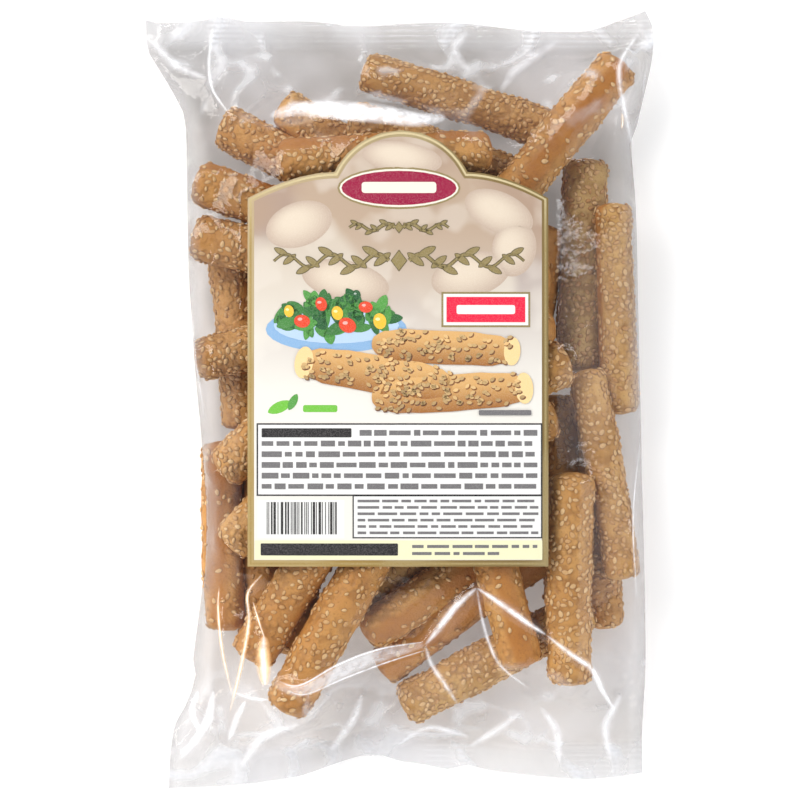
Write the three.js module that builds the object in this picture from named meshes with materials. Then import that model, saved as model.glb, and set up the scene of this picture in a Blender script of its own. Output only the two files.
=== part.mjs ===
// A clear pillow bag of sesame breadsticks, lying on its back with the label up.
// Millimetres, +Z up. The origin is the middle of the bag's outline, on the table.
// The bag is one closed body: the film as it lies over the pile, down to the table.
import * as THREE from 'three';
import { mergeVertices } from 'three/addons/utils/BufferGeometryUtils.js';

// Places are read off the picture in pixels, from its top left corner.
const PIXEL = 0.4;
const MIDDLE_X = 399.5;
const MIDDLE_Y = 399.8;

// Bag
const COLUMNS = 36;
const ROWS = 54;
const SEAL_ROWS = 2;
const DRAPE_ROUNDS = 300;
const FILM = 0.6;
const PILE_TOP = 46;
const SEAL_LINE_TOP = 45;
const SEAL_LINE_BOTTOM = 748;
const SIDE_FOLD = 11;
const SIDE_ROUND = 14;
const END_ROUND = 26;
const SEED_ROOM = 1.7;

// Outline of the bag, corner to corner
const EDGE_TOP = [
  [145, 19], [160, 22], [199, 20], [222, 15], [245, 20], [305, 20], [360, 25], [400, 23],
  [440, 22], [472, 23], [526, 29], [585, 30], [621, 19], [646, 10],
];
const EDGE_BOTTOM = [
  [168, 789.6], [202, 788], [237, 786], [270, 782], [301, 777], [341, 763], [361, 757], [379, 756],
  [400, 762], [422, 765], [447, 770], [469, 766], [490, 771], [520, 775], [573, 780], [599, 780],
  [625, 777], [643, 774],
];
const EDGE_LEFT = [
  [168, 789.6], [169, 762], [174, 727], [185, 706], [195, 679], [193, 661], [195, 644], [203, 580],
  [205.5, 530], [203, 460], [196, 379], [189, 280], [187, 173], [184.5, 119], [173, 93], [158, 68],
  [147, 48], [145, 19],
];
const EDGE_RIGHT = [
  [643, 774], [643, 731], [646, 660], [645, 592], [642, 479], [641, 418], [638, 300], [636, 216],
  [632, 157], [630.5, 144], [637, 126], [642, 104], [651, 67], [654, 43], [653, 26], [646, 10],
];

// Breadsticks: the two ends, then the thickness. Those under the label can't be seen.
const STICKS_UNDER = [
  [296, 215, 298, 428, 45], [344, 208, 346, 421, 44], [391, 212, 392, 425, 45],
  [437, 208, 437, 421, 44], [483, 205, 484, 418, 45], [529, 215, 531, 428, 44],
  [264, 432, 258, 640, 44], [311, 436, 300, 648, 44],
];
const STICKS_SHOWN = [
  [223, 224, 240, 432, 44], [228, 438, 235, 628, 44], [586, 418, 580, 630, 42],
  [556, 400, 556, 613, 44], [581, 158, 579, 372, 48], [611, 203, 618, 415, 41],
  [283, 100, 465, 212, 44], [345, 128, 545, 188, 44], [553, 282, 339, 292, 44],
  [556, 322, 346, 365, 44], [380, 665, 552, 543, 44], [620, 578, 579, 369, 40],
  [318, 623, 491, 495, 44], [410, 703, 598, 600, 48], [556, 415, 351, 465, 46],
  [195, 183, 402, 239, 49], [194, 237, 404, 283, 49], [197, 362, 409, 325, 46],
  [222, 472, 382, 328, 49], [232, 547, 382, 393, 46], [570, 362, 368, 436, 49],
  [221, 120, 407, 227, 47], [249, 659, 361, 475, 49], [366, 638, 536, 523, 45],
  [284, 711, 389, 524, 49], [525, 664, 475, 460, 46], [570, 683, 573, 470, 49],
  [277, 162, 492, 150, 46], [362, 70, 567, 135, 44], [622, 62, 487, 230, 48],
];
const STICK_CORE = 0.93;
const BLUNTNESS = 0.55;
const SETTLE_ROUNDS = 400;
const HOLD_UNDER = 0.004;
const HOLD_SHOWN = 0.2;

// Label
const LABEL_LEFT = 249;
const LABEL_RIGHT = 547;
const LABEL_FOOT = 565;
const LABEL_SHOULDER = 200;
const LABEL_NECK = 174;
const ARCH_X = 401;
const ARCH_Y = 205.5;
const ARCH_RADIUS = 73;
const LABEL_COLUMNS = 20;
const LABEL_ROWS = 12;
const LABEL_THICK = 0.3;
const LABEL_GAP = 0.35;
const LABEL_MARGIN = 9;

const toX = (px) => (px - MIDDLE_X) * PIXEL;
const toY = (py) => (MIDDLE_Y - py) * PIXEL;
const clamp = THREE.MathUtils.clamp;
const smoothstep = THREE.MathUtils.smoothstep;

// Outline curves
function edgeCurve(points) {
  return new THREE.CatmullRomCurve3(points.map(([px, py]) => new THREE.Vector3(toX(px), toY(py), 0)));
}

const edges = {
  top: edgeCurve(EDGE_TOP),
  bottom: edgeCurve(EDGE_BOTTOM),
  left: edgeCurve(EDGE_LEFT),
  right: edgeCurve(EDGE_RIGHT),
};

// The outline's x on one side, level with y
function sideX(points, y) {
  for (let k = 1; k < points.length; k++) {
    const below = toY(points[k - 1][1]);
    const above = toY(points[k][1]);
    if (y <= above || k === points.length - 1) {
      const share = clamp((y - below) / (above - below), 0, 1);
      return THREE.MathUtils.lerp(toX(points[k - 1][0]), toX(points[k][0]), share);
    }
  }
}

// The height that the pile and the label may reach at a place
function domeHeight(x, y) {
  return PILE_TOP - 6 * (x / 95) ** 2 - 7 * (y / 130) ** 2;
}

// The seals wave a little above the table
function sealHeight(x, y) {
  const top = 6 + 1.6 * Math.sin(x / 17 + 1) + 0.9 * Math.sin(x / 7.3);
  const bottom = 4.5 + 1.4 * Math.sin(x / 21) + 0.8 * Math.sin(x / 9 + 2);
  return y > 0 ? top : bottom;
}

// How far inside the side fold and the seal line a place is
function inset(x, y) {
  const side = Math.min(x - sideX(EDGE_LEFT, y), sideX(EDGE_RIGHT, y) - x);
  const end = Math.min(toY(SEAL_LINE_TOP) - y, y - toY(SEAL_LINE_BOTTOM));
  return { side, end };
}

// The underside: flat on the table, rounded up to the side folds and the seals
function undersideHeight(x, y, fold) {
  const { side, end } = inset(x, y);
  const round = 1 - clamp(side / SIDE_ROUND, 0, 1);
  const atSide = fold * (1 - Math.sqrt(1 - round ** 2));
  const atEnd = sealHeight(x, y) * (1 - smoothstep(end, 0, END_ROUND));
  return Math.max(atSide, atEnd);
}

// Lowest and highest that a breadstick's middle line may lie at a place
function room(x, y, r) {
  const { side } = inset(x, y);
  const lift = Math.max(0, SIDE_FOLD - side);
  const low = r + 1 + lift + undersideHeight(x, y, 0);
  const high = Math.min(domeHeight(x, y) - r - SEED_ROOM, low + 3 + Math.max(0, 1.2 * side));
  return [low, high];
}

// Nearest points of two breadsticks' middle lines, as shares of their lengths
function nearest(one, two) {
  const along = one.q.clone().sub(one.p);
  const across = two.q.clone().sub(two.p);
  const from = one.p.clone().sub(two.p);
  const a = along.lengthSq();
  const b = along.dot(across);
  const c = along.dot(from);
  const e = across.lengthSq();
  const f = across.dot(from);
  const spread = a * e - b * b;
  let s = spread > 1e-6 ? clamp((b * f - c * e) / spread, 0, 1) : 0.5;
  let t = (b * s + f) / e;
  if (t < 0) {
    t = 0;
    s = clamp(-c / a, 0, 1);
  } else if (t > 1) {
    t = 1;
    s = clamp((b - c) / a, 0, 1);
  }
  return [s, t];
}

// Pushes two breadsticks apart where they cut into each other, the first one upwards
function part(one, two) {
  const [s, t] = nearest(one, two);
  const gap = one.p.clone().lerp(one.q, s).sub(two.p.clone().lerp(two.q, t));
  const distance = gap.length();
  const reach = one.r + two.r;
  if (distance >= reach || distance < 1e-6) return;
  gap.multiplyScalar((reach - distance) / distance / 2);
  gap.x *= 0.6;
  gap.y *= 0.6;
  gap.z = Math.abs(gap.z);
  const shareOne = (1 - s) ** 2 + s ** 2;
  const shareTwo = (1 - t) ** 2 + t ** 2;
  one.p.addScaledVector(gap, (1 - s) / shareOne);
  one.q.addScaledVector(gap, s / shareOne);
  two.p.addScaledVector(gap, -(1 - t) / shareTwo);
  two.q.addScaledVector(gap, -t / shareTwo);
}

// The breadsticks as rounded rods, one laid on another in order, then settled in the bag
function settle() {
  const rows = [...STICKS_UNDER, ...STICKS_SHOWN];
  const rods = rows.map(([ax, ay, bx, by, thick], order) => {
    const z = 10 + 24 * order / (rows.length - 1);
    const a = new THREE.Vector3(toX(ax), toY(ay), z);
    const b = new THREE.Vector3(toX(bx), toY(by), z);
    const r = thick * PIXEL / 2 * STICK_CORE;
    const along = b.clone().sub(a).setLength(r * BLUNTNESS);
    a.add(along);
    b.sub(along);
    const hold = order < STICKS_UNDER.length ? HOLD_UNDER : HOLD_SHOWN;
    return { r, hold, p: a, q: b, homeP: a.clone(), homeQ: b.clone(), length: a.distanceTo(b) };
  });
  for (let round = 0; round < SETTLE_ROUNDS; round++) {
    for (const rod of rods) {
      for (const [end, home] of [[rod.p, rod.homeP], [rod.q, rod.homeQ]]) {
        end.x += (home.x - end.x) * rod.hold;
        end.y += (home.y - end.y) * rod.hold;
        end.z -= 0.06;
      }
    }
    for (let i = 0; i < rods.length; i++) {
      for (let j = 0; j < i; j++) part(rods[i], rods[j]);
    }
    for (const rod of rods) {
      const along = rod.q.clone().sub(rod.p);
      const stretch = (rod.length / along.length() - 1) / 2;
      rod.q.addScaledVector(along, stretch);
      rod.p.addScaledVector(along, -stretch);
      for (const end of [rod.p, rod.q]) end.z = clamp(end.z, ...room(end.x, end.y, rod.r));
    }
  }
  return rods;
}

// The pile's surface at a place, with room for the seeds, or -1 beside the breadsticks
function pileHeight(x, y, rods) {
  let top = -1;
  for (const { p, q, r } of rods) {
    const dx = q.x - p.x;
    const dy = q.y - p.y;
    const share = clamp(((x - p.x) * dx + (y - p.y) * dy) / (dx * dx + dy * dy), 0, 1);
    const off = Math.hypot(x - p.x - share * dx, y - p.y - share * dy);
    const reach = r + SEED_ROOM;
    if (off < reach) top = Math.max(top, THREE.MathUtils.lerp(p.z, q.z, share) + Math.sqrt(reach ** 2 - off ** 2));
  }
  return top;
}

// The side fold runs at the height of the breadsticks that press on it
function foldHeight(x, y, rods) {
  let weight = 0.4;
  let sum = weight * SIDE_FOLD;
  for (const { p, q } of rods) {
    for (const share of [0, 0.25, 0.5, 0.75, 1]) {
      const near = p.clone().lerp(q, share);
      const pull = Math.max(0, 1 - Math.hypot(x - near.x, y - near.y) / 22);
      weight += pull;
      sum += pull * near.z;
    }
  }
  const { end } = inset(x, y);
  return THREE.MathUtils.lerp(sealHeight(x, y), sum / weight, smoothstep(end, 0, 34));
}

// Height of the label's upper edge in the picture, across its width
function labelTop(px) {
  const off = px - ARCH_X;
  const foot = Math.sqrt(ARCH_RADIUS ** 2 - (LABEL_NECK - ARCH_Y) ** 2);
  if (Math.abs(off) < foot) return ARCH_Y - Math.sqrt(ARCH_RADIUS ** 2 - off ** 2);
  const edge = off < 0 ? LABEL_LEFT : LABEL_RIGHT;
  const share = clamp((px - edge) / (ARCH_X + Math.sign(off) * foot - edge), 0, 1);
  return LABEL_NECK + (LABEL_SHOULDER - LABEL_NECK) * (1 - share) ** 1.8;
}

// Whether the label covers a place, with a margin round it in pixels
function underLabel(x, y, margin) {
  const px = x / PIXEL + MIDDLE_X;
  const py = MIDDLE_Y - y / PIXEL;
  if (px < LABEL_LEFT - margin || px > LABEL_RIGHT + margin || py > LABEL_FOOT + margin) return false;
  return py > labelTop(clamp(px, LABEL_LEFT, LABEL_RIGHT)) - margin;
}

// A sheet of columns and rows, closed all round: place(u, v) gives a spot in plan and
// the heights of the lower and the upper face there
function sheet(columns, rows, place) {
  const box = new THREE.BoxGeometry(1, 1, 1, columns, rows, 1);
  box.deleteAttribute('normal');
  box.deleteAttribute('uv');
  const geometry = mergeVertices(box);
  const spots = geometry.attributes.position;
  for (let n = 0; n < spots.count; n++) {
    const column = Math.round((spots.getX(n) + 0.5) * columns);
    const row = Math.round((spots.getY(n) + 0.5) * rows);
    const { x, y, lower, upper } = place(column, row);
    spots.setXYZ(n, x, y, spots.getZ(n) > 0 ? upper : lower);
  }
  geometry.computeVertexNormals();
  return geometry;
}

// A spot of the bag in plan, between its four edges. Columns lie closer at the folds.
function bagSpot(column, row) {
  const even = column / COLUMNS;
  const u = even - 0.06 * Math.sin(2 * Math.PI * even);
  const v = row / ROWS;
  const spot = new THREE.Vector3();
  spot.addScaledVector(edges.bottom.getPointAt(u), 1 - v).addScaledVector(edges.top.getPointAt(u), v);
  spot.addScaledVector(edges.left.getPointAt(v), 1 - u).addScaledVector(edges.right.getPointAt(v), u);
  spot.addScaledVector(edges.bottom.getPoint(0), -(1 - u) * (1 - v));
  spot.addScaledVector(edges.bottom.getPoint(1), -u * (1 - v));
  spot.addScaledVector(edges.top.getPoint(0), -(1 - u) * v);
  spot.addScaledVector(edges.top.getPoint(1), -u * v);
  return spot;
}

// One spot of the bag: its place in plan and its lower and upper film
function bagStart(column, row, rods) {
  const { x, y } = bagSpot(column, row);
  const seal = row <= SEAL_ROWS || row >= ROWS - SEAL_ROWS;
  const side = column === 0 || column === COLUMNS;
  const spot = { x, y, seal, held: true };
  if (seal || side) {
    const height = seal ? sealHeight(x, y) : foldHeight(x, y, rods);
    spot.lower = height - FILM / 2;
    spot.upper = height + FILM / 2;
    return spot;
  }
  const fold = foldHeight(x, y, rods);
  const { side: fromSide, end: fromEnd } = inset(x, y);
  spot.lower = undersideHeight(x, y, fold);
  spot.least = spot.lower + FILM + clamp(Math.min(fromSide, fromEnd) / 8, 0, 3);
  spot.least = Math.max(spot.least, pileHeight(x, y, rods));
  spot.held = underLabel(x, y, LABEL_MARGIN);
  spot.upper = spot.held ? domeHeight(x, y) : spot.least;
  return spot;
}

// The film: taut from the edges over the pile and the label, so each free spot lies
// midway between its neighbours unless the pile holds it higher
function drape(rods) {
  const spots = [];
  for (let column = 0; column <= COLUMNS; column++) {
    spots.push(Array.from({ length: ROWS + 1 }, (_, row) => bagStart(column, row, rods)));
  }
  for (let round = 0; round < DRAPE_ROUNDS; round++) {
    for (let column = 1; column < COLUMNS; column++) {
      for (let row = 1; row < ROWS; row++) {
        const spot = spots[column][row];
        if (spot.held) continue;
        const across = spots[column - 1][row].upper + spots[column + 1][row].upper;
        const along = spots[column][row - 1].upper + spots[column][row + 1].upper;
        const taut = (across + along) / 4;
        spot.upper = Math.max(spot.least, spot.upper + 1.5 * (taut - spot.upper));
      }
    }
  }
  return spots;
}

// A spot of the label: columns run across the shoulders and the arch between them
function labelSpot(column, row) {
  const foot = Math.sqrt(ARCH_RADIUS ** 2 - (LABEL_NECK - ARCH_Y) ** 2);
  const quarter = LABEL_COLUMNS / 4;
  let px = ARCH_X - foot * Math.cos(Math.PI * (column - quarter) / (2 * quarter));
  if (column < quarter) px = THREE.MathUtils.lerp(LABEL_LEFT, ARCH_X - foot, column / quarter);
  if (column > 3 * quarter) px = THREE.MathUtils.lerp(ARCH_X + foot, LABEL_RIGHT, column / quarter - 3);
  const x = toX(px);
  const y = toY(THREE.MathUtils.lerp(LABEL_FOOT, labelTop(px), row / LABEL_ROWS));
  const lower = domeHeight(x, y) + LABEL_GAP;
  return { x, y, lower, upper: lower + LABEL_THICK };
}

const rods = settle();
const film = drape(rods);

const bag = new THREE.Mesh(
  sheet(COLUMNS, ROWS, (column, row) => film[column][row]),
  new THREE.MeshStandardMaterial({ color: 0xcf9f66, roughness: 0.25, metalness: 0 }),
);
bag.name = 'bag';

const label = new THREE.Mesh(
  sheet(LABEL_COLUMNS, LABEL_ROWS, labelSpot),
  new THREE.MeshStandardMaterial({ color: 0xe6dccb, roughness: 0.45, metalness: 0 }),
);
label.name = 'label';

const pack = new THREE.Group();
pack.name = 'bag_of_breadsticks';
pack.add(bag, label);

export default pack;
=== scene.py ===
"""A clear pillow bag of sesame breadsticks with an arched label, seen from straight above."""
import random
from math import atan2, ceil, copysign, cos, degrees, exp, floor, hypot, pi, radians, sin, sqrt

import bmesh
import bpy
import numpy as np
from mathutils import Matrix, Vector, noise


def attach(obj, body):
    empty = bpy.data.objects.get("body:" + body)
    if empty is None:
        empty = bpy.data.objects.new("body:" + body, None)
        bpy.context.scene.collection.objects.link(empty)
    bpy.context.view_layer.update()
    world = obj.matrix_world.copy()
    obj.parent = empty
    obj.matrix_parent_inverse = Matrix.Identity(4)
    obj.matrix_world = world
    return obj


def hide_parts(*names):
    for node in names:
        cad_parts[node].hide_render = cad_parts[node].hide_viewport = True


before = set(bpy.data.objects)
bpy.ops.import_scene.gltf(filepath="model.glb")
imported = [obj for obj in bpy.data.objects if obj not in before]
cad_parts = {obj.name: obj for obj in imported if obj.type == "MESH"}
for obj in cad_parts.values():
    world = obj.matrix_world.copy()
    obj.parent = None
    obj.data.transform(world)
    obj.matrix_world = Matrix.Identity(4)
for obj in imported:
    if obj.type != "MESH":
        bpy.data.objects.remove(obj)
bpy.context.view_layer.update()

# Places are read off the picture in pixels, from its top left corner; sizes are in millimetres.
PIXEL = 0.4
MIDDLE_X = 399.5
MIDDLE_Y = 399.8
MM = 0.001

# Table and camera, in metres: the picture is 0.32 wide at the height of the pile's middle
TABLE_Z = -0.0006
TABLE_HALF = 4.0
EYE_HEIGHT = 3.0
PICTURE_HEIGHT = 0.015
PICTURE_SIDE = 0.320
PICTURE_MIDDLE = 400

# Bag
COLUMNS = 150
ROWS = 230
PILE_TOP = 46.0
SIDE_FALL = 6.0
HALF_WIDTH = 95.0
END_FALL = 7.0
HALF_LENGTH = 130.0
SEAL_LINE_TOP = 45
SEAL_LINE_BOTTOM = 748
SIDE_FOLD = 11.0
SIDE_ROUND = 14.0
END_ROUND = 26.0
SEED_ROOM = 1.7
SEAL_ROWS = 9
FOLD_REACH = 22.0
FOLD_BLEND = 34.0

# Draping: the film's distance from the breadsticks, the rounds, and how far each pulls it taut
FILM_ROOM = 1.4
DRAPE_ROUNDS = 420
PULL = 1.75

# Haze of the film (cloudy white, partly a painted sheen), how far in from the seals it lies loose, and the
# width of its sides that are painted darker as painted shade
EDGE_HAZE = 0.22
FOLD_HAZE = 0.04
HAZE_RANGE = (0.006, 0.6)
LOOSE_LENGTH = 45.0
EDGE_WIDTH = 4.5

# Where the seals are crimped: left, top, right and foot
CRIMPS = ((205, 20, 800, 46), (424, 742, 476, 784), (560, 742, 800, 784))

EDGE_TOP = [
    (145, 19), (160, 22), (199, 20), (222, 15), (245, 20), (305, 20), (360, 25), (400, 23),
    (440, 22), (472, 23), (526, 29), (585, 30), (621, 19), (646, 10),
]
EDGE_BOTTOM = [
    (168, 789.6), (202, 788), (237, 786), (270, 782), (301, 777), (341, 763), (361, 757), (379, 756),
    (400, 762), (422, 765), (447, 770), (469, 766), (490, 771), (520, 775), (573, 780), (599, 780),
    (625, 777), (643, 774),
]
EDGE_LEFT = [
    (168, 789.6), (169, 762), (174, 727), (185, 706), (195, 679), (193, 661), (195, 644), (203, 580),
    (205.5, 530), (203, 460), (196, 379), (189, 280), (187, 173), (184.5, 119), (173, 93), (158, 68),
    (147, 48), (145, 19),
]
EDGE_RIGHT = [
    (643, 774), (643, 731), (646, 660), (645, 592), (642, 479), (641, 418), (638, 300), (636, 216),
    (632, 157), (630.5, 144), (637, 126), (642, 104), (651, 67), (654, 43), (653, 26), (646, 10),
]

# Breadsticks: two ends, thickness, the side that lay on the tray (0 is up, in degrees), how
# olive the crust is, and how thickly seeded
STICKS_UNDER = [
    (296, 215, 298, 428, 45, 180, 0, 1), (344, 208, 346, 421, 44, 180, 0, 1),
    (391, 212, 392, 425, 45, 180, 0, 1), (437, 208, 437, 421, 44, 180, 0, 1),
    (483, 205, 484, 418, 45, 180, 0, 1), (529, 215, 531, 428, 44, 180, 0, 1),
    (264, 432, 258, 640, 44, 150, 0, 1), (311, 436, 300, 648, 44, 150, 0, 1),
]
STICKS_SHOWN = [
    (223, 224, 240, 432, 44, 170, 0.1, 1), (228, 438, 235, 628, 44, 20, 0, 0.5),
    (586, 418, 580, 630, 42, 180, 0.2, 1.1), (556, 400, 556, 613, 44, 180, 0.1, 1),
    (581, 158, 579, 372, 48, 150, 0.9, 1.6), (611, 203, 618, 415, 41, 75, 0.5, 1.6),
    (283, 100, 465, 212, 44, 180, 0.2, 1.1), (345, 128, 545, 188, 44, 180, 0.4, 1.1),
    (553, 282, 339, 292, 44, 180, 0, 1), (556, 322, 346, 365, 44, 180, 0, 1),
    (380, 665, 552, 543, 44, 15, 0, 0.5), (620, 578, 579, 369, 40, 180, 0.4, 1.4),
    (318, 623, 491, 495, 44, 180, 0.5, 1.2), (410, 703, 598, 600, 48, 180, 0.5, 1.8),
    (556, 415, 351, 465, 46, 180, 0.2, 1.2), (195, 183, 402, 239, 49, -70, 0, 1.1),
    (194, 237, 404, 283, 49, 110, 0.1, 1.1), (197, 362, 409, 325, 46, 150, 0.1, 1.3),
    (222, 472, 382, 328, 49, 180, 0.1, 1.3), (232, 547, 382, 393, 46, 100, 0.2, 1.1),
    (570, 362, 368, 436, 49, 180, 0.3, 1.3), (221, 120, 407, 227, 47, 160, 0, 1.3),
    (249, 659, 361, 475, 49, 150, 0, 1), (366, 638, 536, 523, 45, 25, 0.1, 0.8),
    (284, 711, 389, 524, 49, 165, 0, 1), (525, 664, 475, 460, 46, 10, 0, 0.4),
    (570, 683, 573, 470, 49, 170, 0.2, 1.4), (277, 162, 492, 150, 46, -60, 0.1, 1.2),
    (362, 70, 567, 135, 44, 200, 0.3, 1.3), (622, 62, 487, 230, 48, -8, 0.1, 0.9),
]

# As shares of a breadstick's radius: its core, its blunt and rounded ends, and its unevenness
STICK_CORE = 0.93
BLUNTNESS = 0.55
TIP_ROUND = 0.62
TIP_POWER = 2.6
SWELL = 0.08
LUMPS = 0.055
FINE_LUMPS = 0.02
TRAY_FLAT = 0.05

# How far a breadstick bends sideways and upwards, in millimetres, and how dark it is baked
BEND_SIDE = (-1.7, 1.7)
BEND_UP = (-0.5, 0.4)
BAKED = (0.0, 0.26)

# Settling: the rounds, how far each lets a breadstick sink, and how firmly its ends keep their place
SETTLE_ROUNDS = 400
SINK = 0.06
HOLD_UNDER = 0.004
HOLD_SHOWN = 0.2

# Meshes of the breadsticks and their seeds
STICK_RINGS = 44
STICK_SIDES = 32
SEEDS_A_STICK = 255
SEED_GAP = 1.95
SEED_HALF_LENGTH = (1.05, 1.6)
SEED_SLIMNESS = (0.58, 0.82)
SEED_HEIGHT = (0.4, 0.85)
SEED_OUTLINE = ((1.0, 0.0), (0.5, 0.78), (-0.3, 0.8), (-0.95, 0.22), (-0.95, -0.22), (-0.3, -0.8),
                (0.5, -0.78))
# Rings of a seed: size, lift and how pale; the outer ring, sunk into the crust, is painted dark as painted
# shade round the seed
SEED_RINGS = ((1.1, -0.12, 0.0), (0.82, 0.6, 0.85))

# Folds of the film that catch the light: a line, how far the film rises along it and the half
# width of that rise in millimetres, then the painted highlight along the crease: its width in pixels,
# how white its core and its flanks are painted, and how warm its painted glint is
FOLDS = [
    ([(272, 681), (303, 688), (340, 670), (380, 654), (425, 643)], 3, 4.5, 17, 0.34, 0.55, 0),
    ([(276, 678), (300, 683), (338, 663), (378, 648), (425, 640)], 0, 4.5, 3.4, 0.9, 0.5, 0),
    ([(284, 686), (306, 692), (344, 677), (384, 662), (427, 648)], 0, 4.5, 3, 0.85, 0.5, 0),
    ([(425, 643), (436, 630), (455, 605), (476, 586)], 3, 4, 9, 0.8, 0.6, 0),
    ([(476, 586), (500, 602), (525, 620), (545, 633)], 2.6, 3.2, 8, 1, 0.6, 0),
    ([(545, 633), (568, 651), (590, 667), (602, 690), (616, 712)], 2, 3.2, 8, 0.85, 0.55, 0),
    ([(476, 586), (481, 615), (488, 640), (500, 664), (528, 687)], 1.4, 2.4, 5, 0.5, 0.35, 0),
    ([(425, 643), (431, 662), (445, 684), (458, 704)], 1.6, 2.6, 7, 0.5, 0.4, 0),
    ([(220, 585), (219, 610), (223, 650), (232, 692)], 1.2, 1.6, 4.2, 1, 1, 1),
    ([(264, 572), (249, 592), (250, 620), (243, 660), (230, 712)], 1.4, 1.8, 5.4, 1, 1, 1),
    ([(254, 600), (260, 620), (266, 638)], 1.2, 1.6, 3.2, 1, 0.9, 1),
    ([(265, 634), (264, 656), (266, 684)], 0.8, 2, 17, 1, 1.2, 1),
    ([(270, 117), (300, 110), (340, 112), (380, 116), (420, 122), (446, 119)], 2.2, 4.5, 22, 0.95, 1.05, 0),
    ([(213, 24), (209, 60), (213, 90), (232, 118)], 1.5, 2.4, 5, 0.5, 0.3, 0),
    ([(150, 40), (178, 66), (206, 78)], 1.6, 3, 11, 0.4, 0.35, 0),
    ([(640, 30), (618, 70), (626, 120), (634, 150)], 1.5, 2.6, 8, 0.5, 0.35, 0),
    ([(468, 30), (455, 50), (470, 72)], 1.2, 3, 13, 0.35, 0.3, 0),
    ([(560, 40), (520, 66), (500, 92)], 1, 3, 13, 0.3, 0.3, 0),
    ([(180, 760), (206, 724), (214, 690)], 2, 4, 12, 0.85, 0.6, 0),
    ([(236, 692), (252, 697), (270, 698)], 1, 2, 4, 0.9, 0.6, 0),
    ([(198, 690), (192, 712), (200, 728), (214, 716)], 1.2, 2.6, 8, 0.9, 0.7, 0),
    ([(228, 742), (238, 716), (246, 700)], 1.4, 3, 9, 0.8, 0.5, 0),
    ([(240, 770), (262, 738), (300, 722)], 1.6, 3.6, 12, 0.45, 0.4, 0),
    ([(330, 752), (352, 722), (362, 694)], 1.4, 3, 11, 0.42, 0.38, 0),
    ([(400, 744), (430, 728), (470, 738)], 1.2, 2.6, 8, 0.42, 0.35, 0),
    ([(470, 748), (500, 728), (520, 712)], 1.3, 2.8, 10, 0.42, 0.38, 0),
    ([(560, 764), (556, 730), (540, 706)], 1.5, 3.2, 11, 0.42, 0.4, 0),
    ([(612, 762), (606, 726), (622, 694)], 1.6, 3, 11, 0.45, 0.4, 0),
    ([(190, 300), (197, 360), (205, 420)], 1.2, 2.4, 3, 0.4, 0.2, 0),
    ([(640, 440), (632, 520), (636, 600)], 1.2, 2.4, 3, 0.5, 0.25, 0),
    ([(621, 114), (622, 122), (621, 130)], 0.8, 1.6, 3, 1, 0.8, 1),
]
CREASE_STEPS = 48
CREASE_PROFILE = ((-1, 0, 0), (-0.5, 0.35, 0.6), (0, 1, 1), (0.5, 0.35, 0.6), (1, 0, 0))
BACK_STEP = 5

# Label
LABEL_LEFT = 249
LABEL_RIGHT = 547
LABEL_FOOT = 565
LABEL_SHOULDER = 200
LABEL_NECK = 174
ARCH_X = 401
ARCH_Y = 205.5
ARCH_RADIUS = 73
ARCH_HALF = sqrt(ARCH_RADIUS ** 2 - (LABEL_NECK - ARCH_Y) ** 2)
LABEL_TOP_FACE = 0.65
LABEL_MARGIN = 9
BORDER = 6.5
SHINE_OUT = 1.9
SHINE_IN = 4.0
SHINE_FOOT = 240
PRINT_STEP = 0.04
PRINT_CELL = 6

# Colours, linear
CREAM = (0.80, 0.76, 0.66)
WHITE_INK = (0.80, 0.80, 0.79)
BLACK_INK = (0.022, 0.02, 0.022)
GREY_INK = (0.16, 0.155, 0.16)
SHINE_LEFT = (0.40, 0.275, 0.09)
SHINE_RIGHT = (0.33, 0.25, 0.105)
SHINE_TOP = (0.70, 0.60, 0.36)
MAROON = (0.30, 0.004, 0.045)
RED = (0.80, 0.012, 0.055)
OLIVE_GOLD = (0.27, 0.21, 0.085)
PALE_YELLOW = (0.80, 0.78, 0.52)
SCROLL_EDGE = (0.12, 0.095, 0.04)
ROLL = (0.70, 0.60, 0.48)
ROLL_RIM = (0.50, 0.39, 0.31)
LEAF_DARK = (0.015, 0.10, 0.03)
LEAF_LIGHT = (0.09, 0.32, 0.06)
TOMATO = (0.72, 0.06, 0.02)
PEPPER = (0.85, 0.50, 0.04)
PLATE_BLUE = (0.24, 0.42, 0.66)
PLATE_PALE = (0.45, 0.60, 0.78)
STICK_LIT = (0.68, 0.40, 0.15)
STICK_DARK = (0.33, 0.13, 0.03)
STICK_END = (0.88, 0.62, 0.30)
MARK_GREEN = (0.16, 0.50, 0.05)

# Places of the print: rolls, vegetables and breadsticks, then boxes by left, top, right and foot
ROLLS = [
    (300, 226, 34, 22, -20), (498, 214, 36, 20, 24), (346, 282, 44, 20, 12), (470, 276, 40, 22, -14),
    (402, 160, 40, 16, 8), (513, 250, 22, 28, 10),
]
PLATE = (337, 330)
LEAVES = 70
VEGETABLES = [
    (303, 322, 8, TOMATO), (322, 305, 7, TOMATO), (348, 326, 9, TOMATO), (366, 308, 7, TOMATO),
    (338, 314, 7, PEPPER), (380, 322, 8, PEPPER), (290, 312, 6, PEPPER), (357, 296, 5, LEAF_DARK),
]
PRINTED_STICKS = [(516, 352, 372, 344, 33), (300, 362, 452, 386, 37), (528, 388, 372, 398, 36)]
SCROLLS = [(399, 229, 50, 3.4, 3), (399, 262, 126, 6.5, 5)]
MARK_LEAF = (281, 407, 26, 11, -24)
MARK_SPROUT = (294, 402, 18, 8, -62)
OVAL = (399, 190)
OVAL_BAR = (362, 184, 436, 195)
RED_PANEL = (441, 293, 529, 328)
RED_BAR = (456, 306, 514, 315)
GREEN_BAR = (304, 405, 338, 412)
GREY_BAR = (478, 410, 530, 415)
WIDE_BOX = (258, 423, 541, 495)
WIDE_BOX_BAR = (263, 428, 352, 437)
RIGHT_BOX = (353, 494, 541, 537)
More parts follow.
